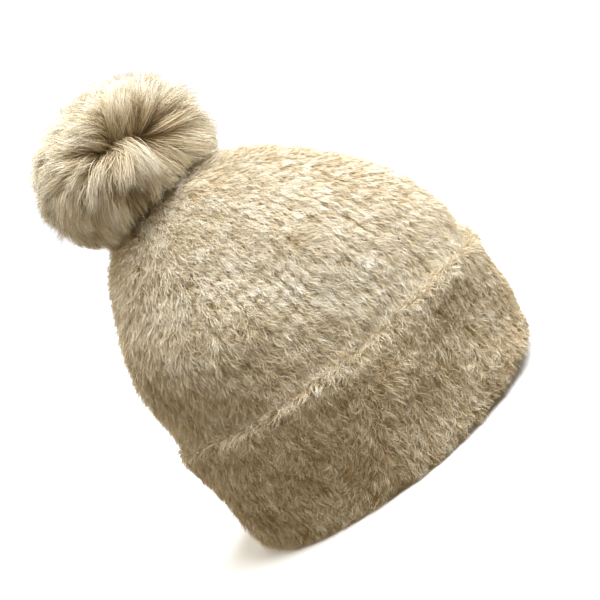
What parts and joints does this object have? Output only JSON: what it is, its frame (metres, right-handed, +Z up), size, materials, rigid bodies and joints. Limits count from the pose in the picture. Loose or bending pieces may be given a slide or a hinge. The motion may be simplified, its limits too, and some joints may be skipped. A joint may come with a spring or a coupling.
{
  "type": "pom pom beanie",
  "caption": "Knitted beanie with a deep turned-up cuff, a fleece lining and a fluffy pom that nods, turns and pulls off its press stud.",
  "frame": {"origin": "middle of the rim, on the lowest face of the turned fold", "axes": "+Z up through the crown, X across the wide side of the hat, +Y the back, where the knit is seamed and the care label hangs"},
  "size_m": [0.2256, 0.1876, 0.2892],
  "materials": {
    "knit": "brushed",
    "fur": "long pile",
    "fleece": "fleece",
    "yarn": "twisted",
    "felt": "felt",
    "filling": "fibre",
    "label": "satin ribbon",
    "snap_metal": "plated",
    "spring_wire": "bright",
    "disc": "matte"
  },
  "bodies": {
    "hat": {"knit_body": "knit", "cuff": "knit", "crown_gather_yarn": "yarn", "crown_patch": "felt", "socket_anchor_thread": "yarn", "back_seam_yarn": "yarn", "cuff_tacks": "yarn", "lining_front_left": "fleece", "lining_front_right": "fleece", "lining_back_left": "fleece", "lining_back_right": "fleece", "lining_hem_thread": "yarn", "label_tack": "yarn"},
    "label": {"care_label": "label"},
    "thread_shank": {"thread_shank": "yarn"},
    "snap_socket": {"snap_socket": "snap_metal", "socket_stitches": "yarn"},
    "ring_spring": {"ring_spring": "spring_wire"},
    "pom": {"snap_stud": "snap_metal", "stud_stitches": "yarn", "pom_base_disc": "disc", "pom_gather_thread": "yarn", "pom_filling": "filling", "pom_fur": "fur"}
  },
  "joints": [
    {"name": "pom_nod", "type": "hinge", "parent": "hat", "child": "thread_shank", "pos_m": [0.02826, 0, 0.21748], "axis": [0.9848, 0, -0.1736], "range_deg": [-12, 12], "stiffness_Nm_per_rad": 0.12},
    {"name": "pom_sway", "type": "hinge", "parent": "thread_shank", "child": "snap_socket", "pos_m": [0.02852, 0, 0.21895], "axis": [0, 1, 0], "range_deg": [-12, 12], "stiffness_Nm_per_rad": 0.12},
    {"name": "pom_spin", "type": "hinge", "parent": "snap_socket", "child": "ring_spring", "pos_m": [0.02924, 0, 0.22304], "axis": [0.1736, 0, 0.9848], "continuous": true},
    {"name": "pom_pull_off", "type": "slide", "parent": "ring_spring", "child": "pom", "axis": [0.1736, 0, 0.9848], "range_m": [0, 0.06]},
    {"name": "label_flap", "type": "hinge", "parent": "hat", "child": "label", "pos_m": [0, 0.07788, 0.064], "axis": [1, 0, 0], "range_deg": [-80, 0]}
  ]
}
